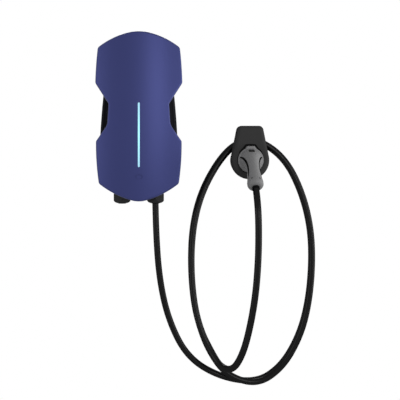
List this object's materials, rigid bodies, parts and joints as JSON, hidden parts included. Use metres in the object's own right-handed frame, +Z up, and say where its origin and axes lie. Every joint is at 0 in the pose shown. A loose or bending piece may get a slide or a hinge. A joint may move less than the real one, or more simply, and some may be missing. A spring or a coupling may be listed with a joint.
{
  "type": "ev wallbox",
  "caption": "Wall-mounted car charger with a waisted, crowned cover and upright light bar, cable glands below, and a tethered lead looped over a drop-shaped holster that holds its plug.",
  "frame": {"origin": "middle of the unit's four wall fixing holes, on the wall plane", "axes": "+X to the right seen from the room, +Y into the wall, +Z up"},
  "size_m": [0.4483, 0.1896, 0.7153],
  "materials": {
    "cover_blue": "satin painted moulding",
    "housing_black": "fine grained moulding",
    "light_diffuser": "glowing diffuser",
    "steel_zinc": "zinc plated",
    "inner_plastic": "plain moulding",
    "white_plastic": "plain moulding",
    "board_green": "coated circuit board",
    "component_black": "moulded component case",
    "component_metal": "plain can",
    "brass": "turned",
    "gland_black": "satin moulding",
    "rubber_black": "matt rubber",
    "lead_black": "satin sheath",
    "core_insulation": "extruded insulation",
    "holster_grey": "fine grained moulding",
    "plug_grey": "satin moulding"
  },
  "bodies": {
    "root": {"wall_plate": "steel_zinc", "rear_housing": "housing_black", "housing_screws": "steel_zinc", "inner_lid": "housing_black", "lid_seal": "rubber_black", "lid_screws": "steel_zinc", "cover_studs": "steel_zinc", "front_cover": "cover_blue", "light_bar": "light_diffuser", "light_carrier": "white_plastic", "light_board": "board_green", "light_leds": "white_plastic", "carrier_screws": "steel_zinc", "main_board": "board_green", "board_screws": "steel_zinc", "power_relays": "component_black", "residual_current_sensor": "component_black", "supply_transformer": "component_black", "bulk_capacitors": "component_metal", "radio_module": "component_metal", "control_chip": "component_black", "supply_terminals": "inner_plastic", "lead_terminals": "inner_plastic", "terminal_screws": "brass", "supply_gland_body": "gland_black", "supply_gland_seal": "rubber_black", "supply_gland_nut": "gland_black", "lead_gland_body": "gland_black", "lead_gland_seal": "rubber_black", "lead_gland_nut": "gland_black", "gland_locknuts": "gland_black", "gland_washers": "rubber_black", "lead_tail": "lead_black", "lead_cores": "core_insulation", "charging_lead": "lead_black", "holster": "holster_grey", "plug_nose": "component_black", "plug_contacts": "brass", "plug_collar": "plug_grey", "plug_upper_shell": "plug_grey", "plug_lower_shell": "plug_grey", "plug_end_cap": "plug_grey", "plug_grommet": "rubber_black", "plug_seal": "rubber_black"}
  },
  "joints": []
}
